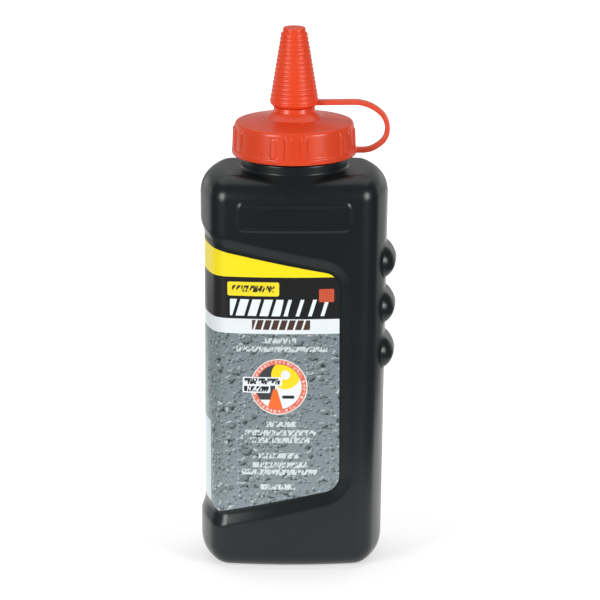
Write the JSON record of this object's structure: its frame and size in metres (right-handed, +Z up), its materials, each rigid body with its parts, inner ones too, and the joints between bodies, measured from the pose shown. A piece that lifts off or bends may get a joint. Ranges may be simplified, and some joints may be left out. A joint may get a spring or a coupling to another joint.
{
  "type": "chalk powder squeeze bottle",
  "caption": "Flat squeeze bottle with finger grips, sunk label panel and a screw cap with a conical nozzle under a tethered ribbed tip cover.",
  "frame": {"origin": "centre of the base under the neck axis, on the surface that the bottle stands on", "axes": "+Z up along the neck axis, -Y out of the broad front with the nameplate, +X towards the finger grips and the tether strap"},
  "size_m": [0.067, 0.0444, 0.1859],
  "materials": {
    "bottle": "satin blow-moulded polyethylene",
    "label": "printed film",
    "powder": "loose powder",
    "liner": "closed-cell foam",
    "cap": "glossy injection-moulded polyethylene",
    "cover": "glossy injection-moulded polyethylene",
    "strap": "flexible injection-moulded polyethylene"
  },
  "bodies": {
    "bottle": {"bottle_shell": "bottle", "wrap_label": "label", "chalk_powder": "powder"},
    "liner": {"cap_liner": "liner"},
    "cap": {"screw_cap": "cap", "tether_strap": "strap"},
    "cover": {"tip_cover": "cover"}
  },
  "joints": [
    {"name": "cap_lift", "type": "slide", "parent": "bottle", "child": "liner", "axis": [0, 0, 1], "range_m": [0, 0.0127]},
    {"name": "cap_turn", "type": "hinge", "parent": "liner", "child": "cap", "pos_m": [0, 0, 0.1471], "axis": [0, 0, 1], "range_deg": [0, 1080]},
    {"name": "cover_pull", "type": "slide", "parent": "cap", "child": "cover", "axis": [0, 0, 1], "range_m": [0, 0.024], "deforming": ["tether_strap"]}
  ],
  "couplings": [
    {"joint": "cap_lift", "follows": "cap_turn", "m_per_rad": 0.00067376}
  ]
}
